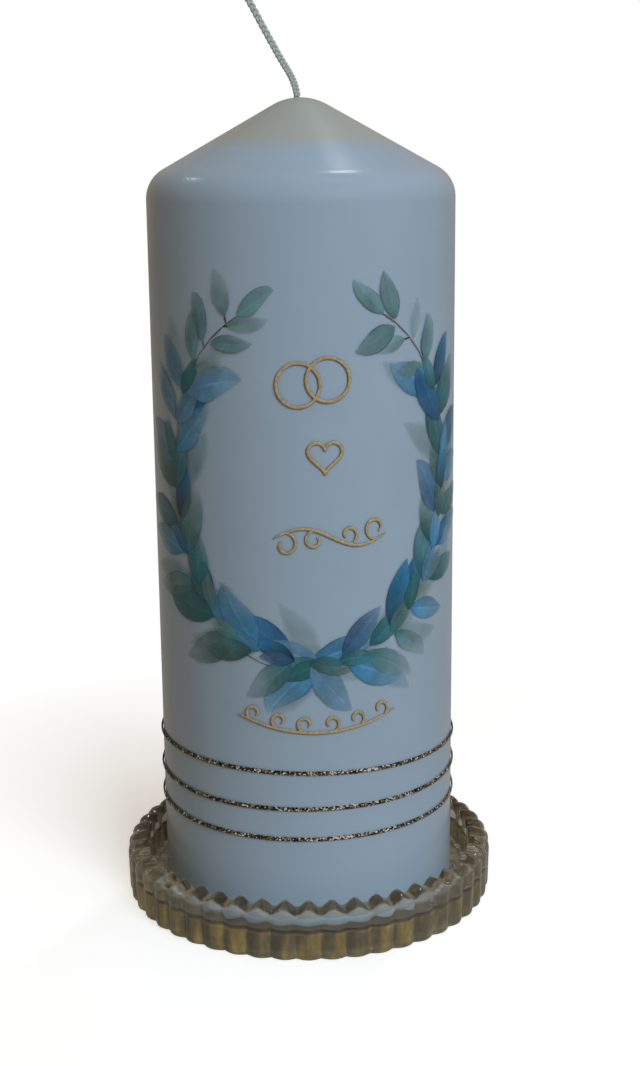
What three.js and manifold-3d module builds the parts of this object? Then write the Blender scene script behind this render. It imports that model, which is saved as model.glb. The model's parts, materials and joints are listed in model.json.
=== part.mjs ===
// A wedding candle: a white dipped pillar with a pointed top, decorated with a printed leaf film,
// four gold ornaments and three glitter cords, standing loose on a ribbed pressed-glass plate.
// Millimetres, +Z up. The origin is the middle of the plate's underside and the candle's front faces -Y.

import * as THREE from "three";
import { mergeVertices } from "three/addons/utils/BufferGeometryUtils.js";
import Module from "manifold-3d";

const wasm = await Module();
wasm.setup();

// Candle body
const candleRadius = 40; // outside of the dipped coat
const candleHeight = 210.7; // from the seat to the tip of the cone
const coneSlope = 29; // degrees, from level
const shoulderFillet = 8.7; // between the cone and the side
const tipFillet = 14.5; // rounding of the cone's tip
const coatWall = 1.6; // hard outer wax that the core is dipped in
const coatFootFillet = 0.9; // rounded lower edge of the coat
const coreGap = 0.3; // between the core and its coat
const roundSteps = 72; // facets round the candle

// Wick
const wickRadius = 0.95;
const wickGap = 0.3; // round the wick in its hole, and between its two stretches at the cone's tip
const wickOffset = -0.6; // the wick stands this far to the side of the candle's middle
const wickSides = 8;
const wickSteps = 14; // along its free end
// The free end's route from the cone's tip, as [sideways, up]: upright at first, then leaning over.
const wickRoute = [
  [0, 0],
  [-0.4, 2],
  [-1.1, 4],
  [-2, 5.8],
  [-3.1, 7.6],
  [-4.5, 9.9],
  [-6, 12.6],
  [-7.6, 15.5],
  [-9.3, 18.6],
  [-11, 21.8],
  [-12.8, 25],
  [-14.7, 28.2],
  [-16.7, 31.4],
  [-18.9, 34.4],
  [-21.3, 37.2],
  [-23.9, 39.7],
];

// Pressed-glass plate
const plateRadius = 51; // over the ribs, at the widest
const plateHeight = 14.9; // to the tops of the scallops
const plateFloor = 5; // glass under the candle
const ribCount = 48;
const ribDepth = 1; // outside, from a rib's crest to the valley beside it
const innerRibDepth = 0.3;
const scallopDrop = 2; // the same, on top of the rim
const fluteStart = 33; // the floor is fluted from here out, and the candle stands on the ridges between
const fluteRunIn = 2.5; // over which the flutes reach their depth
const fluteDepth = 0.5;
const wellRadius = 44.4; // foot of the inner wall
const wellFillet = 1.2; // between the floor and the inner wall
const innerTopRadius = 44.9; // inner wall where the rim starts to round over
const innerTopHeight = 12;
const crestRadius = 45.7; // top of the rim
const outerTopHeight = 11.8; // outer wall where the rim starts to round over
const outerDraft = 0.3; // how far the outer wall narrows towards the foot
const footChamfer = 0.9;
const footRingWidth = 3.8; // flat ring that the plate stands on
const footRecess = 0.9; // how far the underside is raised inside the foot ring
const stepsPerRib = 4;

// Printed film with the leaf wreath
const filmGap = 0.1;
const filmThickness = 0.1;
const filmHeight = 122;
const filmMiddleHeight = 119; // above the candle's seat
const filmHalfAngle = 94; // degrees round the candle, each way from the front
const filmCorner = 3.2; // power of the outline's rounded corners

// Gold ornaments
const ornamentGap = 0.3; // clear of the candle, so that they lie on the film
const ornamentThickness = 0.35;
const strokeWidth = 0.9;
const penTip = 0.45; // a pen stroke's width at its ends, as a share of strokeWidth
const penSwell = 0.75; // what it gains by its middle
const strokeSteps = 24; // along a long stroke
const ringRadius = 5.4;
const ringSpacing = 7.4; // between the middles of the two rings
const ringRise = 0.6; // of each ring's middle, one up and one down
const heartWidth = 8.6;
const scrollLength = 29;
const scrollRise = 2.4; // of its wave
const garlandLength = 42;
const garlandSag = 4.2;
const scrollEndCurl = 3.1; // radius where it leaves the wave, as for the next two
const scrollInnerCurl = 2.5;
const garlandCurl = 2.3;
const scrollCurlPlaces = [0.8, 0.3]; // on each side, as shares of half the length
const garlandCurlPlaces = [0.16, 0.48, 0.8];
const curlTurn = 320; // degrees that a curl winds
const curlTightening = 0.62; // share of its radius that it loses on the way
const curlSteps = 15;
// Middles of the ornaments as [across, height]: across is measured round the side to the right,
// height from the seat.
const ringsPlace = [2.7, 143];
const heartPlace = [5.5, 125];
const scrollPlace = [7, 104.3];
const garlandPlace = [3.2, 55.4];

// Glitter cords
const cordWidth = 1.3;
const cordThickness = 0.8; // out from the candle
const cordGap = 0.1;
const cordEndGap = 0.6; // between a cord's two ends, at the back
const cordSides = 8;
const cordSteps = 60;
// Each cord's height above the seat, and how much it rises per mm to the right and to the back.
const upperCord = { height: 41.5, tilt: [-0.02, -0.02] };
const middleCord = { height: 32.5, tilt: [-0.001, 0] };
const lowerCord = { height: 24.2, tilt: [-0.001, 0] };

const radians = (degrees) => (degrees * Math.PI) / 180;

function material(colour, roughness, metalness, extra = {}) {
  return new THREE.MeshStandardMaterial({ color: colour, roughness, metalness, ...extra });
}

const wax = material(0xaab6c2, 0.38, 0);
const coreWax = material(0xc9c9c2, 0.6, 0);
const cotton = material(0xb3b5ab, 0.85, 0);
const glass = material(0x8f8466, 0.08, 0, { transparent: true, opacity: 0.45 });
const film = material(0x6f9fae, 0.35, 0, { transparent: true, opacity: 0.6 });
const gold = material(0xb59a6c, 0.4, 0.7);
const glitter = material(0x9a8350, 0.3, 0.9);

function named(name, geometry, look) {
  const mesh = new THREE.Mesh(geometry, look);
  mesh.name = name;
  return mesh;
}

// A closed geometry as a solid for cutting and joining.
function solidOf(geometry) {
  const bare = new THREE.BufferGeometry();
  bare.setAttribute("position", geometry.getAttribute("position").clone());
  bare.setIndex(geometry.getIndex());
  const merged = mergeVertices(bare, 1e-4);
  return new wasm.Manifold(
    new wasm.Mesh({
      numProp: 3,
      vertProperties: new Float32Array(merged.getAttribute("position").array),
      triVerts: new Uint32Array(merged.getIndex().array),
    }),
  );
}

// A closed skin from its points' coordinates and its triangles' corners.
function skin(points, faces) {
  const geometry = new THREE.BufferGeometry();
  geometry.setAttribute("position", new THREE.Float32BufferAttribute(points, 3));
  geometry.setIndex(faces);
  geometry.computeVertexNormals();
  return geometry;
}

function geometryOf(solid) {
  const mesh = solid.getMesh();
  return skin(Array.from(mesh.vertProperties), Array.from(mesh.triVerts));
}

// Points of an arc about a middle, between two angles in degrees.
function arc(middle, radius, from, to, steps) {
  return Array.from({ length: steps + 1 }, (_, i) => {
    const angle = radians(from + ((to - from) * i) / steps);
    return new THREE.Vector2(middle.x + radius * Math.cos(angle), middle.y + radius * Math.sin(angle));
  });
}

// Half outline of the pillar taken in by an even margin, from the tip down to the straight side.
function pillarOutline(margin, tipSteps, shoulderSteps) {
  const slope = radians(coneSlope);
  const radius = candleRadius - margin;
  const tip = Math.max(tipFillet - margin, 1);
  const shoulder = Math.max(shoulderFillet - margin, 1);
  const top = candleHeight - margin;
  const tipMiddle = new THREE.Vector2(0, top - tip);
  const coneStart = new THREE.Vector2(tip * Math.sin(slope), tipMiddle.y + tip * Math.cos(slope));
  const shoulderX = radius - shoulder;
  const coneEndX = shoulderX + shoulder * Math.sin(slope);
  const coneEndY = coneStart.y - (coneEndX - coneStart.x) * Math.tan(slope);
  const shoulderMiddle = new THREE.Vector2(shoulderX, coneEndY - shoulder * Math.cos(slope));
  return [
    ...arc(tipMiddle, tip, 90, 90 - coneSlope, tipSteps),
    ...arc(shoulderMiddle, shoulder, 90 - coneSlope, 0, shoulderSteps),
  ];
}

// A lathed solid about Z from a half outline.
function turned(outline, steps) {
  const geometry = new THREE.LatheGeometry(outline, steps);
  geometry.rotateX(Math.PI / 2);
  return geometry;
}

// The hole that the wick stands in, cut through a solid from below its seat to above its tip.
function wickHole() {
  const length = candleHeight * 2;
  const hole = new THREE.CylinderGeometry(wickRadius + wickGap, wickRadius + wickGap, length, wickSides * 2);
  hole.rotateX(Math.PI / 2);
  hole.translate(wickOffset, 0, candleHeight / 2);
  return solidOf(hole);
}

function waxCore() {
  const radius = candleRadius - coatWall - coreGap;
  const outline = [
    ...pillarOutline(coatWall + coreGap, 2, 3),
    new THREE.Vector2(radius, 0),
    new THREE.Vector2(0, 0),
  ];
  const body = solidOf(turned(outline.reverse(), roundSteps));
  return geometryOf(body.subtract(wickHole()));
}

function outerCoat() {
  const foot = new THREE.Vector2(candleRadius - coatFootFillet, coatFootFillet);
  const outline = [
    ...pillarOutline(0, 4, 5),
    ...arc(foot, coatFootFillet, 0, -90, 2),
    new THREE.Vector2(candleRadius - coatWall, 0),
    ...pillarOutline(coatWall, 2, 3).reverse(),
  ];
  const body = solidOf(turned(outline.reverse(), roundSteps));
  return geometryOf(body.subtract(wickHole()));
}

function wickCore() {
  const geometry = new THREE.CylinderGeometry(wickRadius, wickRadius, candleHeight, wickSides * 2);
  geometry.rotateX(Math.PI / 2);
  geometry.translate(wickOffset, 0, candleHeight / 2);
  return geometry;
}

// A tube along a curve, with flat ends.
function tube(curve, radius, sides, steps) {
  const section = new THREE.Shape(
    Array.from({ length: sides }, (_, i) => {
      const angle = (i * 2 * Math.PI) / sides;
      return new THREE.Vector2(radius * Math.cos(angle), radius * Math.sin(angle));
    }),
  );
  return new THREE.ExtrudeGeometry(section, { steps, extrudePath: curve, bevelEnabled: false });
}

function freeWick() {
  const points = wickRoute.map(([side, up]) => new THREE.Vector3(side, 0, up));
  return tube(new THREE.CatmullRomCurve3(points), wickRadius, wickSides, wickSteps);
}

// One ring of points. In the valleys between ribs its radius shrinks by ribs and its height drops by drop.
function plateRing(radius, height, ribs = 0, drop = 0) {
  return { radius, height, ribs, drop };
}

// A stretch of the rim's rounding, at angles in degrees above the foot of its arc at [radius, height].
// The ribs die out towards the crest, and the scallops towards the walls.
function rimRings([radius, height], ribs, angles) {
  return angles.map((angle) => {
    const across = Math.cos(radians(angle));
    const up = Math.sin(radians(angle));
    return plateRing(
      crestRadius + (radius - crestRadius) * across,
      height + (plateHeight - height) * up,
      ribs * (1 - up),
      scallopDrop * up,
    );
  });
}

function plateRings() {
  const footOuter = plateRadius - outerDraft;
  const footInner = footOuter - footChamfer - footRingWidth;
  return [
    plateRing(fluteStart, plateFloor),
    plateRing(fluteStart + fluteRunIn, plateFloor, 0, fluteDepth),
    plateRing(wellRadius - wellFillet, plateFloor, 0, fluteDepth),
    plateRing(wellRadius, plateFloor + wellFillet, -innerRibDepth),
    ...rimRings([innerTopRadius, innerTopHeight], -innerRibDepth, [0, 45, 90]),
    ...rimRings([plateRadius, outerTopHeight], ribDepth, [60, 30, 0]),
    plateRing(footOuter, footChamfer, ribDepth),
    plateRing(footOuter - footChamfer, 0, ribDepth),
    plateRing(footInner, 0),
    plateRing(footInner - footRecess, footRecess),
  ];
}

// Rings of points round Z joined into one closed skin, with a middle point above and below.
function ringedSolid(rings, middleTop, middleUnder, steps) {
  const points = [];
  const faces = [];
  rings.forEach((ring) => {
    for (let i = 0; i < steps; i += 1) {
      const angle = (i * 2 * Math.PI) / steps;
      const crest = Math.abs(Math.cos((ribCount * angle) / 2));
      const radius = ring.radius - ring.ribs * (1 - crest);
      const height = ring.height - ring.drop * (1 - crest ** 2);
      points.push(radius * Math.cos(angle), radius * Math.sin(angle), height);
    }
  });
  const top = rings.length * steps;
  const under = top + 1;
  points.push(0, 0, middleTop, 0, 0, middleUnder);
  const last = (rings.length - 1) * steps;
  for (let i = 0; i < steps; i += 1) {
    const next = (i + 1) % steps;
    faces.push(top, i, next);
    faces.push(under, last + next, last + i);
    for (let ring = 0; ring < rings.length - 1; ring += 1) {
      const a = ring * steps;
      const b = a + steps;
      faces.push(a + i, b + i, b + next);
      faces.push(a + i, b + next, a + next);
    }
  }
  return skin(points, faces);
}

function glassPlate() {
  return ringedSolid(plateRings(), plateFloor, footRecess, ribCount * stepsPerRib);
}

// A point on the candle's side: across is measured round the surface from the front, to the right.
function onCandle(across, height, lift) {
  const angle = across / candleRadius;
  const radius = candleRadius + lift;
  return [radius * Math.sin(angle), -radius * Math.cos(angle), height];
}

// A flat stroke bent round the candle. Each station is [across, height], and width(share) is its width there.
function stroke(stations, width, lift, thickness, closed = false) {
  const count = stations.length;
  const points = [];
  const faces = [];
  stations.forEach(([across, height], i) => {
    const before = stations[closed ? (i + count - 1) % count : Math.max(i - 1, 0)];
    const after = stations[closed ? (i + 1) % count : Math.min(i + 1, count - 1)];
    const along = new THREE.Vector2(after[0] - before[0], after[1] - before[1]).normalize();
    const half = width(i / (count - 1)) / 2;
    const [side, up] = [-along.y * half, along.x * half];
    points.push(...onCandle(across + side, height + up, lift));
    points.push(...onCandle(across - side, height - up, lift));
    points.push(...onCandle(across - side, height - up, lift + thickness));
    points.push(...onCandle(across + side, height + up, lift + thickness));
  });
  const spans = closed ? count : count - 1;
  for (let i = 0; i < spans; i += 1) {
    for (let k = 0; k < 4; k += 1) {
      const a = i * 4 + k;
      const b = i * 4 + ((k + 1) % 4);
      const c = ((i + 1) % count) * 4 + ((k + 1) % 4);
      const d = ((i + 1) % count) * 4 + k;
      faces.push(a, c, b, a, d, c);
    }
  }
  if (!closed) {
    const end = (count - 1) * 4;
    faces.push(0, 1, 2, 0, 2, 3, end, end + 2, end + 1, end, end + 3, end + 2);
  }
  return skin(points, faces);
}

// The film is one wide stroke round the front, whose height falls off at its rounded ends.
function leafFilm() {
  const step = 360 / roundSteps;
  const reach = Math.floor(filmHalfAngle / step) * step;
  const angles = [-filmHalfAngle];
  for (let angle = -reach; angle <= reach; angle += step) angles.push(angle);
  angles.push(filmHalfAngle);
  const stations = angles.map((angle) => [radians(angle) * candleRadius, filmMiddleHeight]);
  const height = (share) => {
    const out = Math.abs(angles[Math.round(share * (angles.length - 1))]) / (filmHalfAngle + step / 2);
    return filmHeight * (1 - out ** (2 * filmCorner)) ** (1 / filmCorner);
  };
  return stroke(stations, height, filmGap, filmThickness);
}

// Stations along a curve that gives [across, height] at a share from 0 to 1.
function stationsOf(curve, steps) {
  return Array.from({ length: steps + 1 }, (_, i) => curve(i / steps));
}

// A pen stroke, thin at both ends and full in the middle.
function penWidth(share) {
  return strokeWidth * (penTip + penSwell * Math.sin(Math.PI * share) ** 1.2);
}

function joinedStrokes(strokes) {
  const solids = strokes.map((stations) =>
    solidOf(stroke(stations, penWidth, ornamentGap, ornamentThickness)),
  );
  return geometryOf(solids.reduce((all, one) => all.add(one)));
}

function ringsOrnament() {
  const steps = 24;
  const [across, height] = ringsPlace;
  const loops = [-1, 1].map((side) => {
    const stations = Array.from({ length: steps }, (_, i) => [
      across + (side * ringSpacing) / 2 + ringRadius * Math.sin((i * 2 * Math.PI) / steps),
      height + side * ringRise + ringRadius * Math.cos((i * 2 * Math.PI) / steps),
    ]);
    return solidOf(stroke(stations, () => strokeWidth, ornamentGap, ornamentThickness, true));
  });
  return geometryOf(loops[0].add(loops[1]));
}

function heartOrnament() {
  const unit = heartWidth / 32; // the curve below is 32 units wide
  const steps = 32;
  const [across, height] = heartPlace;
  const stations = Array.from({ length: steps }, (_, i) => {
    const t = ((i + 0.5) * 2 * Math.PI) / steps;
    const up = 13 * Math.cos(t) - 5 * Math.cos(2 * t) - 2 * Math.cos(3 * t) - Math.cos(4 * t);
    return [across + 16 * unit * Math.sin(t) ** 3, height + unit * up];
  });
  return geometryOf(solidOf(stroke(stations, () => strokeWidth, ornamentGap, ornamentThickness, true)));
}

// A curl that winds in from a start point, as on wrought iron: hand is its side, lift is up or down.
function curl([across, height], radius, hand, lift) {
  const wind = (share) => {
    const reach = radius * (1 - curlTightening * share);
    const angle = radians(share * curlTurn);
    return [across + hand * reach * Math.sin(angle), height + lift * (radius - reach * Math.cos(angle))];
  };
  return stationsOf(wind, curlSteps);
}

// A long wave with curls growing out of its crests and hollows.
function scrollOrnament() {
  const half = scrollLength / 2;
  const [middle, height] = scrollPlace;
  const wave = (along) => [middle + along, height - scrollRise * Math.sin((Math.PI * along) / half)];
  const line = stationsOf((share) => wave((2 * share - 1) * half), strokeSteps);
  const [endPlace, innerPlace] = scrollCurlPlaces;
  const curls = [-1, 1].flatMap((side) => [
    curl(wave(side * half * endPlace), scrollEndCurl, -side, side),
    curl(wave(side * half * innerPlace), scrollInnerCurl, side, side),
  ]);
  return joinedStrokes([line, ...curls]);
}

// A sagging line with small curls standing on it.
function garlandOrnament() {
  const half = garlandLength / 2;
  const [middle, height] = garlandPlace;
  const sag = (share) => [middle + share * half, height + garlandSag * (share ** 2 - 0.5)];
  const line = stationsOf((share) => sag(2 * share - 1), strokeSteps);
  const curls = [-1, 1].flatMap((side) =>
    garlandCurlPlaces.map((place) => curl(sag(side * place), garlandCurl, side, 1)),
  );
  return joinedStrokes([line, ...curls]);
}

// A flattened cord round the candle, with its two ends meeting at the back.
function glitterCord({ height, tilt }) {
  const middle = candleRadius + cordGap + cordThickness / 2;
  const open = cordEndGap / middle;
  const points = [];
  const faces = [];
  for (let i = 0; i <= cordSteps; i += 1) {
    const angle = Math.PI / 2 + open / 2 + ((2 * Math.PI - open) * i) / cordSteps;
    for (let k = 0; k < cordSides; k += 1) {
      const turn = (k * 2 * Math.PI) / cordSides;
      const radius = middle + (cordThickness / 2) * Math.cos(turn);
      const [right, back] = [radius * Math.cos(angle), radius * Math.sin(angle)];
      const rise = tilt[0] * right + tilt[1] * back + (cordWidth / 2) * Math.sin(turn);
      points.push(right, back, height + rise);
    }
  }
  for (let i = 0; i < cordSteps; i += 1) {
    for (let k = 0; k < cordSides; k += 1) {
      const [a, b] = [i * cordSides + k, i * cordSides + ((k + 1) % cordSides)];
      faces.push(a, a + cordSides, b + cordSides, a, b + cordSides, b);
    }
  }
  const end = cordSteps * cordSides;
  for (let k = 1; k < cordSides - 1; k += 1) faces.push(0, k, k + 1, end, end + k + 1, end + k);
  return skin(points, faces);
}

const candle = new THREE.Group();
candle.position.z = plateFloor;
candle.add(
  named("wax_core", waxCore(), coreWax),
  named("outer_coat", outerCoat(), wax),
  named("wick_core", wickCore(), cotton),
  named("leaf_film", leafFilm(), film),
  named("rings_ornament", ringsOrnament(), gold),
  named("heart_ornament", heartOrnament(), gold),
  named("scroll_ornament", scrollOrnament(), gold),
  named("garland_ornament", garlandOrnament(), gold),
  named("upper_glitter_cord", glitterCord(upperCord), glitter),
  named("middle_glitter_cord", glitterCord(middleCord), glitter),
  named("lower_glitter_cord", glitterCord(lowerCord), glitter),
);

const freeEnd = named("wick_free_end", freeWick(), cotton);
freeEnd.position.set(wickOffset, 0, candleHeight + wickGap);
candle.add(freeEnd);

const weddingCandle = new THREE.Group();
weddingCandle.add(named("glass_plate", glassPlate(), glass), candle);

export default weddingCandle;
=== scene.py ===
import json
import math
import random

import bpy
from mathutils import Matrix, Vector

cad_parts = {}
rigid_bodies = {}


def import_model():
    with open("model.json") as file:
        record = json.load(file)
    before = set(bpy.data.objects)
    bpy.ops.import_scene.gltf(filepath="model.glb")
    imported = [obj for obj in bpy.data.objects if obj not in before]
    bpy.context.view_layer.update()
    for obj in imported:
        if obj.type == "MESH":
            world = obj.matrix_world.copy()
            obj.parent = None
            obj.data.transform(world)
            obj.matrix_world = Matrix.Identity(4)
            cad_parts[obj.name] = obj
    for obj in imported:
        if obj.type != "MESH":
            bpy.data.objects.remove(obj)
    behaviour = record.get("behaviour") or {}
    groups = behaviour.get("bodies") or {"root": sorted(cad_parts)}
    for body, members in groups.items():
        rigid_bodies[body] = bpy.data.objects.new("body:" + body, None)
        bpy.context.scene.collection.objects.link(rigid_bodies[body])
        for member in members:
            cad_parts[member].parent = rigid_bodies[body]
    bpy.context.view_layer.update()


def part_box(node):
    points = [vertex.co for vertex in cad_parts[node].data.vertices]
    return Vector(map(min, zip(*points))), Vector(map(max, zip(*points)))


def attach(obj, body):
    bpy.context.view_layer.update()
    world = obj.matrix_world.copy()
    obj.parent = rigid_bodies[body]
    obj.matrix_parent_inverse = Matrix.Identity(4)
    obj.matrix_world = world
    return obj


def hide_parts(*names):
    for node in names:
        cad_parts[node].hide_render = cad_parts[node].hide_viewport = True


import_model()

MM = 0.001

# The candle: sizes that the frame gives, and those of its outline
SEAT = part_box("outer_coat")[0].z
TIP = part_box("outer_coat")[1].z
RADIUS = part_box("outer_coat")[1].x
CONE_SLOPE = math.radians(29)
SHOULDER_FILLET = 8.7 * MM
TIP_FILLET = 14.5 * MM
COAT_WALL = 1.6 * MM
DIP_LINE = 204.9 * MM
FOOT_FILLET = 0.9 * MM
CANDLE_SIDES = 192

# The wick
WICK_SIDE = -0.6 * MM  # where it stands, to the side of the candle's middle
WICK_HOLE = 1.1 * MM
WICK_GAP = 0.3 * MM  # between the tip of the cone and the free end
STRAND_RADIUS = 0.43 * MM
BRAID_SWING = (0.5 * MM, 0.26 * MM)  # of a strand, to the side and to the front
BRAID_CROSSINGS = 12
WICK_ROUTE = [
    (0, 0),
    (-0.4, 2),
    (-1.1, 4),
    (-2, 5.8),
    (-3.1, 7.6),
    (-4.5, 9.9),
    (-6, 12.6),
    (-7.6, 15.5),
    (-9.3, 18.6),
    (-11, 21.8),
    (-12.8, 25),
    (-14.7, 28.2),
    (-16.7, 31.4),
    (-18.9, 34.4),
    (-21.3, 37.2),
    (-23.9, 39.7),
]

# The glass plate
PLATE_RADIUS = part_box("glass_plate")[1].x
PLATE_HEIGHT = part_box("glass_plate")[1].z
RIBS = 48
RIB_STEPS = 8
RIB_DEPTH = 1 * MM
INNER_RIB_DEPTH = 0.3 * MM
SCALLOP_DROP = 2 * MM
FLUTE_START = 33 * MM
FLUTE_RUN_IN = 2.5 * MM  # over which the flutes reach their depth
FLUTE_BORDER = 1.5 * MM  # flat ring inside their start
FLUTE_DEPTH = 0.5 * MM
WELL_RADIUS = 44.4 * MM
WELL_FILLET = 1.2 * MM
INNER_TOP = (44.9 * MM, 12 * MM)
OUTER_TOP = (PLATE_RADIUS, 11.8 * MM)
CREST_RADIUS = 45.7 * MM
WALL_EDGE = 0.4 * MM  # how near its two ends a wall is flat
INNER_DRAFT = 0.03 * MM
OUTER_DRAFT = 0.3 * MM
FOOT_CHAMFER = 0.9 * MM
FOOT_RING = 3.8 * MM
FOOT_RECESS = 0.9 * MM

# Where the plate's glass changes, each time from one radius or height to another
INNER_FACE = (45 * MM, 45.4 * MM)
OUTER_FACE = (49.2 * MM, 49.6 * MM)
OUTSIDE = (49.6 * MM, 49.9 * MM)
FACING = (26 * MM, 42 * MM)  # to the side, where the clear glass in front and at the back ends and painted shade on the plate's sides begins
MATT_FOOT = (0.8 * MM, 1.3 * MM)
ABOVE_FLOOR = (5.3 * MM, 5.7 * MM)
# Heights of the painted shadow line at the top of the foot zone
PAINTED_SHADOW_LINE = (7.4 * MM, 7.9 * MM)
DIFFUSE_VIEW_TOP = (8.5 * MM, 8.7 * MM)
PAINTED_VIEW_TOP = (8.6 * MM, 8.9 * MM)
RIM_START = (11 * MM, 12 * MM)
CLEAR_GLASS = (0.67, 0.67, 0.64)
# Painted shade for the plate's sides, darker than the glass in front and at the back
PAINTED_SIDE_SHADE = (0.58, 0.53, 0.44)
# Painted reflection of bright light on the rim's outer rounding
PAINTED_RIM_REFLECTION = (0.6, 0.7, 0.78)
PAINTED_SHADOW_GLASS = (0.045, 0.03, 0.022)

# The decoration: places are (across, height), across is measured round the side to the right
PRINT_LIFT = 0.2 * MM
ORNAMENT_LIFT = 0.46 * MM
WREATH_MIDDLE = (2.5 * MM, SEAT + 118 * MM)
WREATH_REACH = (40.5 * MM, 46 * MM)
RINGS_PLACE = (2.7 * MM, SEAT + 143 * MM)
HEART_PLACE = (5.5 * MM, SEAT + 125 * MM)
SCROLL_PLACE = (7 * MM, SEAT + 104.3 * MM)
GARLAND_PLACE = (3.2 * MM, SEAT + 55.4 * MM)
STROKE = 0.9 * MM
STROKE_DEPTH = 0.42  # share of its width
RING_RADIUS = 5.4 * MM
RING_SHIFT = (3.7 * MM, 0.6 * MM)  # of each ring's middle, across and up
HEART_WIDTH = 8.6 * MM
SCROLL_LENGTH = 29 * MM
SCROLL_RISE = 2.4 * MM
SCROLL_CURLS = ((0.8, 3.1 * MM), (0.3, 2.5 * MM))  # place as a share of half the length, and radius
GARLAND_LENGTH = 42 * MM
GARLAND_SAG = 4.2 * MM
GARLAND_CURLS = (-0.8, -0.48, -0.16, 0.16, 0.48, 0.8)
GARLAND_CURL_RADIUS = 2.3 * MM
CURL_TURN = math.radians(320)
CURL_TIGHTENING = 0.62
GLITTER_WIDTH = 1.2 * MM
GLITTER_THICKNESS = 0.55 * MM
GLITTER_LIFT = 0.1 * MM
GLITTER_END_GAP = 0.6 * MM
GLITTER_SECTIONS = 760
GLITTER_SIDES = 15
GLITTER_GROOVE = 0.72  # share of the radius that is left between two strands
GLITTER_TURNS = 74
# Height above the seat, and rise to the right and to the back
GLITTER_CORDS = {
    "upper": (41.5 * MM, -0.02, -0.02),
    "middle": (32.5 * MM, -0.001, 0),
    "lower": (24.2 * MM, -0.001, 0),
}

chance = random.Random(11)

# The photograph's viewpoint
IMAGE_HEIGHT = 1066
FOCAL_PIXELS = 1664
CAMERA_PLACE = (3.2 * MM, -440 * MM, 206.5 * MM)
CAMERA_PITCH = math.radians(13.49)
CAMERA_ROLL = math.radians(-0.586)
CAMERA_YAW = math.radians(0.113)

# Lamps, in metres and watts: place, aim, size, power, colour, and whether gloss shows them
CANDLE_MIDDLE = (0, 0, 0.11)
CONE = (0, 0, 0.2)
COOL = (0.86, 1, 1.12)
PALE_BLUE = (0.95, 1, 1.05)
LAMPS = {
    "key": ((0.78, -1.35, 1.01), CANDLE_MIDDLE, (0.9, 0.9), 24, COOL, False),
    "sheen": ((0.78, -1.35, 1.01), CANDLE_MIDDLE, (0.9, 0.9), 1.2, COOL, True),
    "overhead": ((0.25, -0.3, 1.6), CANDLE_MIDDLE, (0.5, 0.5), 2.8, (0.88, 1, 1.1), False),
    "glint": ((0.28, 0.55, 1.44), CONE, (0.1, 0.1), 1.6, PALE_BLUE, True),
    "left_glint": ((-0.84, 0.51, 1.06), CONE, (0.06, 0.06), 0.5, PALE_BLUE, True),
}

# The white surroundings: how much of them shows in gloss and through glass, and where shadows end
SEEN_IN_GLOSS = 0.17
SEEN_IN_GLASS = 0.04
SHADOW_EDGE = (60 * MM, 200 * MM)


def add_camera():
    camera = bpy.data.objects.new("camera", bpy.data.cameras.new("camera"))
    bpy.context.collection.objects.link(camera)
    camera.data.sensor_width = 36
    camera.data.lens = FOCAL_PIXELS / IMAGE_HEIGHT * camera.data.sensor_width
    camera.data.clip_start = 0.01
    turn = Matrix.Rotation(-CAMERA_YAW, 4, "Z") @ Matrix.Rotation(math.pi / 2 - CAMERA_PITCH, 4, "X")
    camera.matrix_world = Matrix.Translation(CAMERA_PLACE) @ turn @ Matrix.Rotation(CAMERA_ROLL, 4, "Z")
    bpy.context.scene.camera = camera


# Modelling steps used by several pieces


def deselect():
    if bpy.context.object and bpy.context.object.mode != "OBJECT":
        bpy.ops.object.mode_set(mode="OBJECT")
    bpy.ops.object.select_all(action="DESELECT")


def pick(*pieces):
    deselect()
    for piece in pieces:
        piece.select_set(True)
    bpy.context.view_layer.objects.active = pieces[0]


def apply_place(piece):
    pick(piece)
    bpy.ops.object.transform_apply(location=True, rotation=True, scale=True)


def apply_modifiers(piece):
    pick(piece)
    for modifier in list(piece.modifiers):
        bpy.ops.object.modifier_apply(modifier=modifier.name)


def joined(name, pieces):
    pick(*pieces)
    if len(pieces) > 1:
        bpy.ops.object.join()
    piece = bpy.context.object
    piece.name = piece.data.name = name
    return piece


def finish_piece(piece, body, material, *nodes, slot=None, sharp=None):
    """Smooths a piece, gives it its material, attaches it to the body it rides on, and hides the model's
    nodes that it stands in for.
    """
    pick(piece)
    if sharp is None:
        bpy.ops.object.shade_smooth()
    else:
        bpy.ops.object.shade_smooth_by_angle(angle=math.radians(sharp))
    piece.data.materials.clear()
    piece.data.materials.append(material)
    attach(piece, body)
    if nodes:
        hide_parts(*nodes)
    return piece


def turned(name, outline, steps):
    """A skin round Z through the points (radius, height) of an outline, left open at both ends."""
    deselect()
    radius, height = outline[0]
    bpy.ops.mesh.primitive_circle_add(vertices=steps, radius=radius, location=(0, 0, height))
    bpy.ops.object.transform_apply(location=True)
    bpy.ops.object.mode_set(mode="EDIT")
    bpy.ops.mesh.select_all(action="SELECT")
    for (before, low), (after, high) in zip(outline, outline[1:]):
        bpy.ops.mesh.extrude_edges_move(TRANSFORM_OT_translate={"value": (0, 0, high - low)})
        ratio = after / before
        bpy.ops.transform.resize(value=(ratio, ratio, 1), center_override=(0, 0, high))
    bpy.ops.object.mode_set(mode="OBJECT")
    piece = bpy.context.object
    piece.name = piece.data.name = name
    return piece


def arc(middle, radius, start, end, steps):
    """Points of an arc between two angles, all in the outline's plane."""
    angles = [start + (end - start) * i / steps for i in range(steps + 1)]
    return [(middle[0] + radius * math.cos(a), middle[1] + radius * math.sin(a)) for a in angles]


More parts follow.
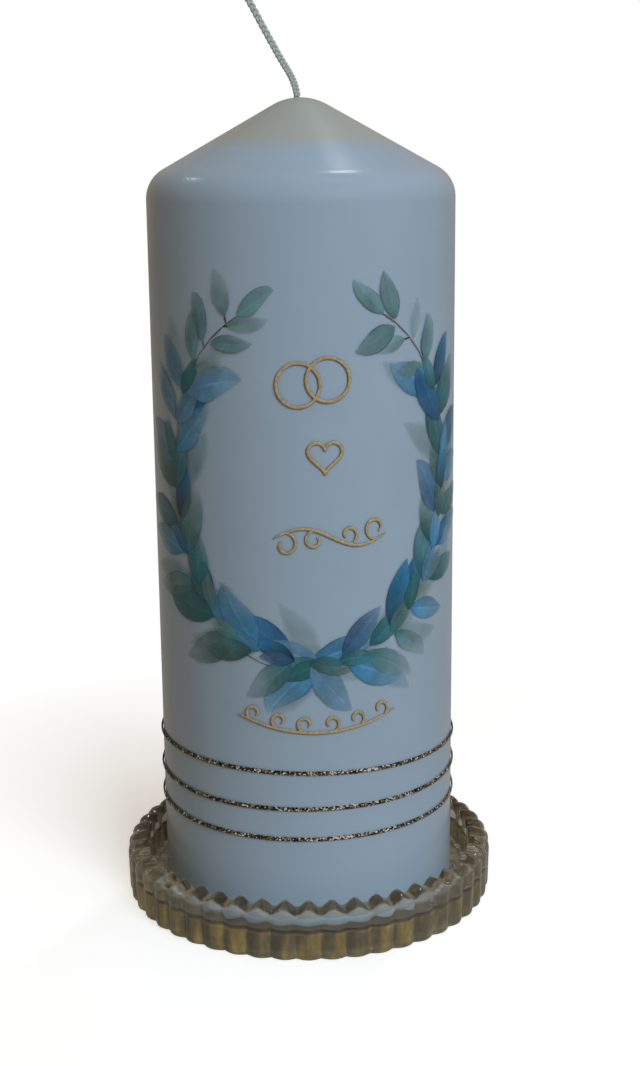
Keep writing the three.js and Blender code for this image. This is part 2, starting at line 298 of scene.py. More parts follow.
def wrapped(piece, radius):
    """Bends a piece that lies flat in the XZ plane round the candle, keeping its sizes."""
    across = [v.co.x for v in piece.data.vertices]
    bend = piece.modifiers.new("round the candle", "SIMPLE_DEFORM")
    bend.deform_method = "BEND"
    bend.deform_axis = "Z"
    bend.angle = (max(across) - min(across)) / radius
    apply_modifiers(piece)
    piece.location.y = -radius
    apply_place(piece)
    return piece


def line(points, width, depth, closed, taper):
    """A round stroke through (across, height) points, flattened to a share of its width, as a mesh."""
    deselect()
    bpy.ops.curve.primitive_nurbs_path_add()
    stroke = bpy.context.object
    curve = stroke.data
    curve.splines.clear()
    spline = curve.splines.new("NURBS")
    spline.points.add(len(points) - 1)
    for i, (point, (across, height)) in enumerate(zip(spline.points, points)):
        point.co = (across, 0, height, 1)
        point.radius = 1 - taper * (1 - abs(math.sin(math.pi * i / (len(points) - 1))) ** 0.6)
    spline.order_u = 3
    spline.use_cyclic_u = closed
    spline.use_endpoint_u = not closed
    curve.resolution_u = 3
    curve.bevel_depth = width / 2
    curve.bevel_resolution = 2
    curve.use_fill_caps = True
    pick(stroke)
    bpy.ops.object.convert(target="MESH")
    stroke = bpy.context.object
    stroke.scale.y = depth
    apply_place(stroke)
    return stroke


# Materials


class Finish:
    """A material with one Principled shader and a few helpers for its nodes."""

    def __init__(self, name, colour, roughness, metallic=0.0, **sockets):
        self.material = bpy.data.materials.new(name)
        self.material.use_nodes = True
        self.nodes = self.material.node_tree.nodes
        self.shader = self.nodes["Principled BSDF"]
        self.set("Base Color", (*colour, 1))
        self.set("Roughness", roughness)
        self.set("Metallic", metallic)
        for socket, value in sockets.items():
            self.set(socket.replace("_", " "), value)

    def set(self, socket, value):
        self.shader.inputs[socket].default_value = value

    def link(self, output, target):
        self.material.node_tree.links.new(output, target)

    def place(self):
        return self.nodes.new("ShaderNodeTexCoord").outputs["Object"]

    def noise(self, scale, detail=3.0, roughness=0.5, stretch=None):
        node = self.nodes.new("ShaderNodeTexNoise")
        node.inputs["Scale"].default_value = scale
        node.inputs["Detail"].default_value = detail
        node.inputs["Roughness"].default_value = roughness
        place = self.place()
        if stretch:
            mapping = self.nodes.new("ShaderNodeMapping")
            mapping.inputs["Scale"].default_value = stretch
            self.link(place, mapping.inputs["Vector"])
            place = mapping.outputs["Vector"]
        self.link(place, node.inputs["Vector"])
        return node.outputs["Fac"]

    def ramp(self, value, *stops):
        node = self.nodes.new("ShaderNodeValToRGB")
        while len(node.color_ramp.elements) < len(stops):
            node.color_ramp.elements.new(0.5)
        for element, (at, colour) in zip(node.color_ramp.elements, stops):
            element.position = at
            element.color = (*colour, 1)
        self.link(value, node.inputs["Fac"])
        return node.outputs["Color"]

    def spread(self, value, low, high, to_low, to_high):
        node = self.nodes.new("ShaderNodeMapRange")
        for socket, number in zip(("From Min", "From Max", "To Min", "To Max"), (low, high, to_low, to_high)):
            node.inputs[socket].default_value = number
        self.link(value, node.inputs["Value"])
        return node.outputs["Result"]

    def math(self, operation, first, second):
        node = self.nodes.new("ShaderNodeMath")
        node.operation = operation
        for socket, value in zip(node.inputs, (first, second)):
            if isinstance(value, (int, float)):
                socket.default_value = value
            else:
                self.link(value, socket)
        return node.outputs["Value"]

    def mix(self, share, first, second):
        node = self.nodes.new("ShaderNodeMix")
        node.data_type = "RGBA"
        for name, value in (("Factor", share), ("A", first), ("B", second)):
            socket = node.inputs[name]
            if isinstance(value, tuple):
                socket.default_value = (*value, 1)
            elif isinstance(value, (int, float)):
                socket.default_value = value
            else:
                self.link(value, socket)
        return node.outputs["Result"]

    def along_axis(self, axis):
        split = self.nodes.new("ShaderNodeSeparateXYZ")
        self.link(self.place(), split.inputs["Vector"])
        return split.outputs[axis]

    def radius(self):
        """Distance from the candle's axis."""
        flat = self.nodes.new("ShaderNodeCombineXYZ")
        for axis in "XY":
            self.link(self.along_axis(axis), flat.inputs[axis])
        length = self.nodes.new("ShaderNodeVectorMath")
        length.operation = "LENGTH"
        self.link(flat.outputs["Vector"], length.inputs[0])
        return length.outputs["Value"]

    def height(self):
        return self.along_axis("Z")

    def off_side(self, across):
        """Distance to the left or right of a place across the candle."""
        return self.math("ABSOLUTE", self.math("SUBTRACT", self.along_axis("X"), across), 0)

    def rib_share(self):
        """Where a spot on the plate lies between the middles of two rib valleys, 0 to 1."""
        angle = self.math("ARCTAN2", self.along_axis("Y"), self.along_axis("X"))
        turns = self.math("MULTIPLY", self.math("ADD", angle, math.pi), RIBS / (2 * math.pi))
        return self.math("FRACT", self.math("ADD", turns, 0.5), 0)

    def open_to_lamps(self, tint):
        """Lamps shine through, as they do through real glass, and every other ray meets the surface."""
        open_way = self.nodes.new("ShaderNodeBsdfTransparent")
        open_way.inputs["Color"].default_value = (*tint, 1)
        blend = self.nodes.new("ShaderNodeMixShader")
        self.link(self.nodes.new("ShaderNodeLightPath").outputs["Is Shadow Ray"], blend.inputs["Fac"])
        self.link(self.shader.outputs["BSDF"], blend.inputs[1])
        self.link(open_way.outputs["BSDF"], blend.inputs[2])
        self.link(blend.outputs["Shader"], self.nodes["Material Output"].inputs["Surface"])

    def bump(self, value, strength, distance):
        node = self.nodes.new("ShaderNodeBump")
        node.inputs["Strength"].default_value = strength
        node.inputs["Distance"].default_value = distance
        self.link(value, node.inputs["Height"])
        self.link(node.outputs["Normal"], self.shader.inputs["Normal"])

    def colour(self, output):
        self.link(output, self.shader.inputs["Base Color"])

    def roughness(self, output):
        self.link(output, self.shader.inputs["Roughness"])


def dipped_wax():
    finish = Finish("dipped_wax", (0.27, 0.34, 0.41), 0.34)
    cloud = finish.noise(38, 4, 0.55)
    tone = finish.ramp(cloud, (0.3, (0.264, 0.338, 0.418)), (0.7, (0.28, 0.358, 0.44)))
    # Painted bounce light: towards the foot the wax is lighter and bluer, for the light that the plate and
    # the floor throw back on it
    low = finish.spread(finish.height(), SEAT, SEAT + 60 * MM, 0.6, 0)
    tone = finish.mix(low, tone, (0.305, 0.392, 0.488))
    # The last dip ends part of the way up the cone, and the wax above it is warmer
    dipped = finish.spread(finish.height(), DIP_LINE - 1.5 * MM, DIP_LINE + 1 * MM, 1, 0)
    finish.colour(finish.mix(dipped, (0.31, 0.335, 0.325), tone))
    finish.roughness(finish.spread(finish.noise(90, 3), 0.3, 0.7, 0.2, 0.27))
    finish.bump(finish.noise(55, 2, 0.4), 0.06, 0.6 * MM)
    finish.set("Specular IOR Level", 0.3)
    return finish.material


def core_wax():
    finish = Finish("core_wax", (0.55, 0.56, 0.52), 0.6, Subsurface_Weight=0.2, Subsurface_Scale=0.005)
    grain = finish.noise(420, 4, 0.6)
    finish.colour(finish.ramp(grain, (0.3, (0.5, 0.51, 0.47)), (0.7, (0.6, 0.6, 0.56))))
    finish.bump(grain, 0.25, 0.3 * MM)
    return finish.material


def braided_cotton():
    finish = Finish("braided_cotton", (0.38, 0.42, 0.4), 0.8, Sheen_Weight=0.25)
    fibre = finish.noise(2600, 3, 0.6, stretch=(1, 1, 0.25))
    shades = (0.25, (0.29, 0.33, 0.31)), (0.5, (0.37, 0.42, 0.4)), (0.8, (0.43, 0.47, 0.45))
    finish.colour(finish.ramp(fibre, *shades))
    finish.bump(fibre, 0.3, 0.1 * MM)
    return finish.material


def watercolour():
    """Leaf paint: colour and cover from each leaf's paint, edge and vein from its place on the leaf."""
    finish = Finish("watercolour", (0.1, 0.2, 0.24), 0.36)
    finish.set("Specular IOR Level", 0.3)
    paint = finish.nodes.new("ShaderNodeAttribute")
    paint.attribute_name = "paint"
    wash = finish.nodes.new("ShaderNodeAttribute")
    wash.attribute_name = "wash"
    strength = finish.nodes.new("ShaderNodeSeparateColor")
    finish.link(wash.outputs["Color"], strength.inputs["Color"])
    softness, rim, vein = (strength.outputs[name] for name in ("Red", "Green", "Blue"))
    on_leaf = finish.nodes.new("ShaderNodeSeparateXYZ")
    finish.link(finish.nodes.new("ShaderNodeUVMap").outputs["UV"], on_leaf.inputs["Vector"])
    side = finish.math("SUBTRACT", finish.math("MULTIPLY", on_leaf.outputs["Y"], 2), 1)
    wobble = finish.spread(finish.noise(260, 3, 0.6), 0.3, 0.7, -0.07, 0.07)
    out = finish.math("ADD", finish.math("ABSOLUTE", side, 0), wobble)

    grain = finish.spread(finish.noise(1100, 5, 0.65), 0.3, 0.7, 0.9, 1.1)
    bloom = finish.spread(finish.noise(190, 3, 0.5), 0.35, 0.65, 0.78, 1.2)
    dark_side = finish.spread(side, -0.05, 0.05, 1, 0.86)
    dark_rim = finish.math("SUBTRACT", 1, finish.math("MULTIPLY", finish.spread(out, 0.82, 0.97, 0, 1), rim))
    light_vein = finish.math("ADD", 1, finish.math("MULTIPLY", finish.spread(out, 0.02, 0.09, 1, 0), vein))
    shade = finish.math("MULTIPLY", grain, bloom)
    for part in (dark_rim, dark_side, light_vein):
        shade = finish.math("MULTIPLY", shade, part)
    tinted = finish.nodes.new("ShaderNodeVectorMath")
    tinted.operation = "SCALE"
    finish.link(paint.outputs["Color"], tinted.inputs[0])
    finish.link(shade, tinted.inputs["Scale"])
    finish.colour(tinted.outputs["Vector"])

    inside = finish.math("SUBTRACT", 1.02, finish.math("MULTIPLY", softness, 0.6))
    faded = finish.nodes.new("ShaderNodeMapRange")
    finish.link(out, faded.inputs["Value"])
    finish.link(inside, faded.inputs["From Min"])
    finish.link(finish.math("ADD", inside, finish.math("MULTIPLY", softness, 0.6)), faded.inputs["From Max"])
    faded.inputs["To Min"].default_value = 1
    faded.inputs["To Max"].default_value = 0
    cover = finish.math("MULTIPLY", paint.outputs["Alpha"], faded.outputs["Result"])
    thinned = finish.math("MULTIPLY", cover, finish.spread(bloom, 0.78, 1.2, 1.08, 0.92))
    finish.link(thinned, finish.shader.inputs["Alpha"])
    return finish.material


def gold_wax():
    finish = Finish("gold_wax", (0.42, 0.31, 0.17), 0.36, metallic=0.35)
    # Painted shade: the stroke darkens on its low sides, down where it meets the wax
    edge = finish.spread(finish.radius(), RADIUS + 0.38 * MM, RADIUS + 0.56 * MM, 0, 1)
    speck = finish.noise(1500, 3)
    bright = finish.ramp(speck, (0.35, (0.36, 0.265, 0.15)), (0.65, (0.52, 0.4, 0.24)))
    finish.colour(finish.mix(edge, (0.11, 0.09, 0.06), bright))
    finish.bump(speck, 0.2, 0.1 * MM)
    return finish.material


def glitter_thread():
    """Dark thread with gold and silver flakes; right of the middle more flakes are painted bright, a painted
    glint where the light falls.
    """
    finish = Finish("glitter_thread", (0.3, 0.22, 0.08), 0.28, metallic=0.85)
    flake = finish.nodes.new("ShaderNodeTexVoronoi")
    flake.inputs["Scale"].default_value = 2400
    finish.link(finish.place(), flake.inputs["Vector"])
    split = finish.nodes.new("ShaderNodeSeparateColor")
    finish.link(flake.outputs["Color"], split.inputs["Color"])
    # Painted glint: right of the middle more flakes are pushed to the bright, silver end of the ramp
    painted_glint = finish.spread(finish.off_side(12 * MM), 4 * MM, 34 * MM, 0.14, -0.1)
    finish.colour(
        finish.ramp(
            finish.math("ADD", split.outputs["Red"], painted_glint),
            (0.0, (0.012, 0.011, 0.01)),
            (0.4, (0.045, 0.037, 0.024)),
            (0.62, (0.2, 0.155, 0.07)),
            (0.8, (0.46, 0.4, 0.27)),
            (0.9, (1.0, 1.0, 0.98)),
        )
    )
    finish.roughness(finish.spread(split.outputs["Green"], 0, 1, 0.12, 0.5))
    finish.bump(split.outputs["Blue"], 0.9, 0.25 * MM)
    return finish.material


def pressed_glass():
    """Smoky glass: olive over the rim, clear in the upper outer wall, and below that amber clouds, a painted
    reflection of the wooden table seen through the glass, topped by a painted shadow line; painted shade
    darkens the plate's sides, and a pale blue painted reflection lies on the rim's outer rounding in front
    and at the back.
    """
    finish = Finish("pressed_glass", (0.5, 0.45, 0.35), 0.03, IOR=1.5, Transmission_Weight=1)
    height, radius, rib = finish.height(), finish.radius(), finish.rib_share()
    patch = finish.noise(230, 3, 0.6, stretch=(1, 1, 0.35))
    streak = finish.math("ADD", patch, finish.spread(rib, 0.3, 0.7, -0.06, 0.06))
    # Painted reflection: the amber clouds stand in for a wooden table seen through the glass
    amber = finish.ramp(
        streak,
        (0.36, (0.12, 0.1, 0.062)),
        (0.48, (0.18, 0.145, 0.08)),
        (0.58, (0.28, 0.2, 0.075)),
        (0.7, (0.4, 0.31, 0.1)),
    )
    smoke = finish.ramp(patch, (0.35, (0.29, 0.25, 0.18)), (0.65, (0.43, 0.37, 0.275)))
    inside = finish.spread(radius, *INNER_FACE, 1, 0)
    inner_wall = finish.math("MULTIPLY", inside, finish.spread(height, *ABOVE_FLOOR, 0, 1))
    outer_wall = finish.spread(radius, *OUTER_FACE, 0, 1)
    clear = finish.math("MAXIMUM", inner_wall, outer_wall)
    outside = finish.spread(radius, *OUTSIDE, 0, 1)
    below = finish.spread(height, *PAINTED_VIEW_TOP, 1, 0)
    foot = finish.math("MULTIPLY", below, finish.math("SUBTRACT", 1, inside))
    facing = finish.spread(finish.off_side(0), *FACING, 1, 0)
    # Painted shadow: a near-black line at the top of the foot zone, for the shaded gap at the candle's foot
    # seen through the glass
    edge = finish.math("MULTIPLY", foot, finish.spread(height, *PAINTED_SHADOW_LINE, 0, 1))
    painted_table_view = finish.mix(finish.math("MULTIPLY", edge, 0.8), amber, PAINTED_SHADOW_GLASS)
    # Painted reflection: a pale blue, partly matt band on the rim's outer rounding in front and at the back,
    # for bright light reflected there
    rim_reflection_band = finish.math("MULTIPLY", outside, finish.spread(height, *RIM_START, 0, 1))
    rim_reflection_band = finish.math("MULTIPLY", rim_reflection_band, facing)
    # Painted shade: away from the front and the back the glass takes a darker colour
    bright = finish.mix(clear, smoke, finish.mix(facing, PAINTED_SIDE_SHADE, CLEAR_GLASS))
    finish.colour(finish.mix(foot, finish.mix(rim_reflection_band, bright, PAINTED_RIM_REFLECTION), painted_table_view))
    haze = finish.math("ADD", finish.math("MULTIPLY", outside, 0.05), finish.math("MULTIPLY", rim_reflection_band, 0.2))
    # Below this height the outer wall lets little light through, so that the painted table view shows as a
    # matt colour
    diffuse_table_view = finish.math("MULTIPLY", outside, finish.spread(height, *DIFFUSE_VIEW_TOP, 0.7, 0))
    body = finish.math("SUBTRACT", 1, finish.math("MAXIMUM", haze, diffuse_table_view))
    finish.link(body, finish.shader.inputs["Transmission Weight"])
    finish.roughness(finish.spread(height, *MATT_FOOT, 0.4, 0.04))
    finish.bump(finish.noise(160, 2, 0.4), 0.1, 0.5 * MM)
    finish.open_to_lamps((0.88, 0.86, 0.8))
    return finish.material


# Candle body


def pillar_outline(margin, tip_steps, shoulder_steps):
    """Half outline from the edge of the wick hole down to the straight side, taken in by an even margin."""
    radius = RADIUS - margin
    tip = TIP_FILLET - margin
    shoulder = SHOULDER_FILLET - margin
    tip_middle = (0, TIP - margin - tip)
    upright = math.pi / 2
    start = math.acos(WICK_HOLE / tip)
    round_tip = arc(tip_middle, tip, start, upright - CONE_SLOPE, tip_steps)
    cone_end = radius - shoulder + shoulder * math.sin(CONE_SLOPE)
    cone_drop = (cone_end - round_tip[-1][0]) * math.tan(CONE_SLOPE)
    middle = (radius - shoulder, round_tip[-1][1] - cone_drop - shoulder * math.cos(CONE_SLOPE))
    return round_tip + arc(middle, shoulder, upright - CONE_SLOPE, 0, shoulder_steps)


def make_coat(material):
    outside = pillar_outline(0, 8, 14)
    inside = pillar_outline(COAT_WALL, 3, 5)
    foot = (RADIUS - FOOT_FILLET, SEAT + FOOT_FILLET)
    side = [(RADIUS, SEAT + height * MM) for height in (160, 120, 80, 40, 10)]
    outline = outside + side + arc(foot, FOOT_FILLET, 0, -math.pi / 2, 5)
    outline += [(RADIUS - COAT_WALL, SEAT)] + inside[::-1]
    coat = turned("dipped_coat", outline, CANDLE_SIDES)
    close_wick_hole(coat)
    return finish_piece(coat, "candle", material, "outer_coat", slot="dipped_wax", sharp=40)


def close_wick_hole(coat):
    """Joins the two rings round the wick, so that the coat is one closed wall with a hole through it."""
    pick(coat)
    bpy.ops.object.mode_set(mode="EDIT")
    bpy.ops.mesh.select_all(action="DESELECT")
    bpy.ops.mesh.select_non_manifold()
    bpy.ops.mesh.bridge_edge_loops()
    bpy.ops.mesh.select_all(action="SELECT")
    bpy.ops.mesh.normals_make_consistent(inside=False)
    bpy.ops.object.mode_set(mode="OBJECT")


# Wick


def along(points, share):
    """A point and a direction on a smooth line through points, at a share of their count."""
    place = share * (len(points) - 1)
    i = min(int(place), len(points) - 2)
    t = place - i
    a, b, c, d = (points[min(max(k, 0), len(points) - 1)] for k in (i - 1, i, i + 1, i + 2))
    spot = 0.5 * ((2 * b) + (c - a) * t + (2 * a - 5 * b + 4 * c - d) * t**2 + (3 * b - a - 3 * c + d) * t**3)
    way = 0.5 * ((c - a) + 2 * (2 * a - 5 * b + 4 * c - d) * t + 3 * (3 * b - a - 3 * c + d) * t**2)
    return spot, way.normalized()


def make_wick(material):
    """Three strands in a flat braid along the route."""
    root = Vector((WICK_SIDE, 0, TIP + WICK_GAP))
    route = [root + Vector((side * MM, 0, up * MM)) for side, up in WICK_ROUTE]
    steps = 14 * BRAID_CROSSINGS
    sideways, forwards = BRAID_SWING
    strands = []
    for strand in range(3):
        deselect()
        bpy.ops.curve.primitive_nurbs_path_add()
        cord = bpy.context.object
        cord.data.splines.clear()
        spline = cord.data.splines.new("POLY")
        spline.points.add(steps)
        for i in range(steps + 1):
            spot, way = along(route, i / steps)
            side = Vector((way.z, 0, -way.x))
            phase = 2 * math.pi * (BRAID_CROSSINGS * i / steps + strand / 3)
            swing = side * math.sin(phase) * sideways + Vector((0, math.sin(2 * phase) * forwards, 0))
            spline.points[i].co = (*(spot + swing), 1)
        cord.data.bevel_depth = STRAND_RADIUS
        cord.data.bevel_resolution = 2
        cord.data.use_fill_caps = True
        pick(cord)
        bpy.ops.object.convert(target="MESH")
        strands.append(bpy.context.object)
    wick = joined("braided_wick", strands)
    finish_piece(wick, "candle", material, "wick_free_end", slot="braided_cotton")
    return wick


# Glass plate


def rib_valley(step):
    """How deep into the valley beside a rib a step round the plate lies: 0 on the crest, 1 in the valley."""
    return 1 - abs(math.cos(math.pi * step / RIB_STEPS))


def rim_rings(foot, ribs, angles):
    """Rings over one half of the rounded rim, from the top of its wall, 0 degrees, to the crest, 90."""
    radius, height = foot
    rings = []
    for angle in angles:
        across, up = math.cos(math.radians(angle)), math.sin(math.radians(angle))
        rings.append(
            (
                CREST_RADIUS + (radius - CREST_RADIUS) * across,
                height + (PLATE_HEIGHT - height) * up,
                ribs * (1 - up),
                SCALLOP_DROP * up,
            )
        )
    return rings


def plate_rings():
    """Rings of the plate as (radius, height, rib depth, drop), from the well over the rim to the foot."""
    foot_outer = PLATE_RADIUS - OUTER_DRAFT
    foot_inner = foot_outer - FOOT_CHAMFER - FOOT_RING
    inner = INNER_RIB_DEPTH
    return [
        (FLUTE_START - FLUTE_BORDER, SEAT, 0, 0),
        (FLUTE_START, SEAT, 0, 0),
        (FLUTE_START + FLUTE_RUN_IN, SEAT, 0, FLUTE_DEPTH),
        (WELL_RADIUS - WELL_FILLET, SEAT, 0, FLUTE_DEPTH),
        (WELL_RADIUS - WELL_FILLET * 0.3, SEAT + WELL_FILLET * 0.3, -inner * 0.4, FLUTE_DEPTH * 0.6),
        (WELL_RADIUS, SEAT + WELL_FILLET, -inner * 0.8, 0),
        (WELL_RADIUS + INNER_DRAFT, SEAT + WELL_FILLET + WALL_EDGE, -inner, 0),
        (INNER_TOP[0] - INNER_DRAFT, INNER_TOP[1] - WALL_EDGE, -inner, 0),
        *rim_rings(INNER_TOP, -inner, (0, 30, 60, 90)),
        *rim_rings(OUTER_TOP, RIB_DEPTH, (72, 54, 36, 18, 0)),
        (OUTER_TOP[0], OUTER_TOP[1] - WALL_EDGE, RIB_DEPTH, 0),
        (foot_outer + OUTER_DRAFT * 0.3, FOOT_CHAMFER * 2.2 + WALL_EDGE, RIB_DEPTH, 0),
        (foot_outer + OUTER_DRAFT * 0.3, FOOT_CHAMFER * 2.2, RIB_DEPTH, 0),
        (foot_outer, FOOT_CHAMFER, RIB_DEPTH, 0),
        (foot_outer - FOOT_CHAMFER * 0.3, FOOT_CHAMFER * 0.3, RIB_DEPTH, 0),
        (foot_outer - FOOT_CHAMFER, 0, RIB_DEPTH, 0),
        (foot_inner, 0, 0, 0),
        (foot_inner - FOOT_RECESS, FOOT_RECESS, 0, 0),
        (foot_inner - FOOT_RECESS * 2, FOOT_RECESS, 0, 0),
    ]


def select_steps(mesh, ring, level):
    """Selects, in the newest ring, the vertices at one depth beside the ribs, or all where it is None."""
    bpy.ops.mesh.select_all(action="DESELECT")
    bpy.ops.object.mode_set(mode="OBJECT")
    vertices = mesh.vertices
    for index in ring:
        angle = math.atan2(vertices[index].co.y, vertices[index].co.x)
        step = round(angle / (2 * math.pi) * RIBS * RIB_STEPS) % RIB_STEPS
        vertices[index].select = level is None or abs(rib_valley(step) - level) < 1e-6
    bpy.ops.object.mode_set(mode="EDIT")


def make_plate(material):
    rings = plate_rings()
    steps = RIBS * RIB_STEPS
    levels = sorted({round(rib_valley(step), 9) for step in range(RIB_STEPS)})
    deselect()
    bpy.ops.mesh.primitive_circle_add(
        vertices=steps, radius=rings[0][0], fill_type="NGON", location=(0, 0, rings[0][1])
    )
    bpy.ops.object.transform_apply(location=True)
    plate = bpy.context.object
    bpy.ops.object.mode_set(mode="EDIT")
    bpy.ops.mesh.select_mode(type="VERT")
    bpy.ops.mesh.select_all(action="SELECT")
    for count, (before, after) in enumerate(zip(rings, rings[1:]), start=1):
        bpy.ops.mesh.extrude_edges_move(TRANSFORM_OT_translate={"value": (0, 0, 0)})
        newest = range(count * steps, (count + 1) * steps)
        for level in levels:
            select_steps(plate.data, newest, level)
            dip = math.sin(math.acos(1 - level)) ** 2
            ratio = (after[0] - after[2] * level) / (before[0] - before[2] * level)
            rise = (after[1] - after[3] * dip) - (before[1] - before[3] * dip)
            bpy.ops.transform.resize(value=(ratio, ratio, 1), center_override=(0, 0, 0))
            bpy.ops.transform.translate(value=(0, 0, rise))
        select_steps(plate.data, newest, None)
    bpy.ops.mesh.edge_face_add()
    bpy.ops.mesh.select_all(action="SELECT")
    bpy.ops.mesh.normals_make_consistent(inside=False)
    bpy.ops.object.mode_set(mode="OBJECT")
    plate.name = plate.data.name = "pressed_plate"
    return finish_piece(plate, "plate", material, "glass_plate", slot="pressed_glass", sharp=50)


# Leaf wreath

PAINTS = {
    "ink": (0.010, 0.024, 0.032),
    "navy": (0.020, 0.070, 0.170),
    "denim": (0.085, 0.200, 0.340),
    "cerulean": (0.030, 0.190, 0.380),
    "sky": (0.140, 0.320, 0.470),
    "petrol": (0.008, 0.085, 0.115),
    "teal": (0.035, 0.170, 0.200),
    "lagoon": (0.080, 0.270, 0.310),
    "pine": (0.018, 0.085, 0.086),
    "sage": (0.115, 0.245, 0.238),
    "eucalyptus": (0.100, 0.215, 0.235),
    "celadon": (0.150, 0.275, 0.285),
    "mist": (0.215, 0.310, 0.300),
    "stem": (0.115, 0.085, 0.095),
    "stalk": (0.012, 0.022, 0.025),
}
# Paint and cover at a leaf's foot and tip, then how soft its outline is and how strong its rim and vein are
WASHES = {
    "night": ("ink", "cerulean", 1, 0.85, 0.03, 0.1, 0),
    "deep": ("petrol", "lagoon", 0.96, 0.45, 0.05, 0.35, 0.3),
    "ocean": ("navy", "denim", 0.96, 0.45, 0.05, 0.3, 0.35),
    "moss": ("pine", "sage", 0.95, 0.15, 0.1, 0.2, 0),
    "lake": ("cerulean", "sky", 0.95, 0.35, 0.05, 0.3, 0.35),
    "reef": ("petrol", "lagoon", 0.95, 0.35, 0.08, 0.4, 0.35),
    "dusk": ("navy", "cerulean", 0.96, 0.65, 0.05, 0.3, 0.25),
    "pond": ("teal", "mist", 0.85, 0.2, 0.15, 0.35, 0.2),
    "fern": ("pine", "teal", 0.96, 0.65, 0.05, 0.35, 0.3),
    "storm": ("denim", "sky", 0.85, 0.4, 0.1, 0.2, 0.3),
    "sprig": ("eucalyptus", "celadon", 0.85, 0.55, 0.05, 0.5, 0.1),
    "fading": ("sage", "mist", 0.7, 0.15, 0.3, 0.1, 0),
    "ghost": ("mist", "mist", 0.5, 0.15, 0.9, 0, 0),
    "haze": ("denim", "lagoon", 0.45, 0.15, 0.7, 0, 0),
    "stem": ("stem", "stem", 0.75, 0.75, 0.2, 0, 0),
    "stalk": ("stalk", "stem", 0.95, 0.6, 0.2, 0, 0),
}
DEEP_WASHES = ("deep", "ocean", "moss", "lake", "reef", "dusk", "pond", "fern", "storm", "lake", "night")
PALE_WASHES = ("sprig", "sprig", "fading", "ghost")
LEAF_STEPS = (22, 10)  # faces along and across a leaf
# How much higher each stroke of a stem, and each leaf, lies than the one before it
STEM_LAYER = 0.0004 * MM
LEAF_LAYER = 0.0025 * MM
STEM_WIDTH = 0.5 * MM
TWIG_WIDTH = 0.35 * MM
TWIG_SHIFT = 3 * MM  # outwards from the stem
TWIG_REACH = (0.02, 0.2)  # shares of the branch
STALK_WIDTH = 0.55 * MM
END_LEAF = (12 * MM, 5 * MM)
BRANCH_NODES = 15
BRANCH_ENDS = (math.radians(-97), math.radians(63))
SPRIG_START = 0.8  # share of a branch above which its leaves are pale and loose


def master_leaf():
    """A flat leaf, one long and one wide, in the XY plane with its foot at the origin."""
    deselect()
    long, wide = LEAF_STEPS
    bpy.ops.mesh.primitive_grid_add(x_subdivisions=long, y_subdivisions=wide, size=1, location=(0.5, 0, 0))
    bpy.ops.object.transform_apply(location=True)
    leaf = bpy.context.object
    bpy.ops.object.mode_set(mode="EDIT")
    for column in range(long + 1):
        share = column / long
        bpy.ops.mesh.select_all(action="DESELECT")
        bpy.ops.object.mode_set(mode="OBJECT")
        for vertex in leaf.data.vertices:
            vertex.select = abs(vertex.co.x - share) < 1e-4
        bpy.ops.object.mode_set(mode="EDIT")
        width = max(math.sin(math.pi * share**0.9) ** 0.85 * (1 - 0.15 * share), 0.015)
        bpy.ops.transform.resize(value=(1, width, 1), center_override=(share, 0, 0))
    bpy.ops.object.mode_set(mode="OBJECT")
    leaf.name = "leaf"
    return leaf


def paint_leaf(mesh, wash):
    """Writes a wash into the mesh: colour and cover change along the leaf, its character does not."""
    foot, tip, foot_cover, tip_cover, *character = WASHES[wash]
    foot, tip = Vector(PAINTS[foot]), Vector(PAINTS[tip])
    where = {}
    layer = mesh.uv_layers.active.data
    for loop in mesh.loops:
        where[loop.vertex_index] = layer[loop.index].uv.copy()
    paint = mesh.color_attributes.new("paint", "FLOAT_COLOR", "POINT")
    marks = mesh.color_attributes.new("wash", "FLOAT_COLOR", "POINT")
    bend = chance.uniform(0.75, 1.3)
    depth = chance.uniform(0.85, 1.15)
    for index, uv in where.items():
        share = min(max(uv.x, 0), 1) ** bend
        cover = foot_cover + (tip_cover - foot_cover) * share**1.3
        paint.data[index].color = (*(foot.lerp(tip, share) * depth), cover)
        marks.data[index].color = (*character, 1)


def place_leaf(master, lift, foot, angle, length, width, curl, wash):
    """A painted copy of the leaf in the flat layout, X across and Z up, lifted over those below it."""
    leaf = master.copy()
    leaf.data = master.data.copy()
    bpy.context.collection.objects.link(leaf)
    paint_leaf(leaf.data, wash)
    bend = leaf.modifiers.new("curl", "SIMPLE_DEFORM")
    bend.deform_method = "BEND"
    bend.deform_axis = "Z"
    bend.angle = curl
    apply_modifiers(leaf)
    lie_flat = Matrix.Rotation(math.pi / 2, 4, "X")
    turn = Matrix.Rotation(-angle, 4, "Y")
    size = Matrix.Diagonal((length, width, 1, 1))
    spot = Matrix.Translation((foot[0], -lift, foot[1]))
    leaf.matrix_world = spot @ turn @ lie_flat @ size
    apply_place(leaf)
    return leaf


def branch_point(side, share, shift=0.0):
    """A point of one of the two branches, moved outwards by shift, and the direction it grows in."""
    angle = BRANCH_ENDS[0] + (BRANCH_ENDS[1] - BRANCH_ENDS[0]) * share
    wide, high = WREATH_REACH[0] + shift, WREATH_REACH[1] + shift
    across = WREATH_MIDDLE[0] + side * wide * math.cos(angle)
    height = WREATH_MIDDLE[1] + high * math.sin(angle)
    way = math.atan2(high * math.cos(angle), -side * wide * math.sin(angle))
    return (across, height), way


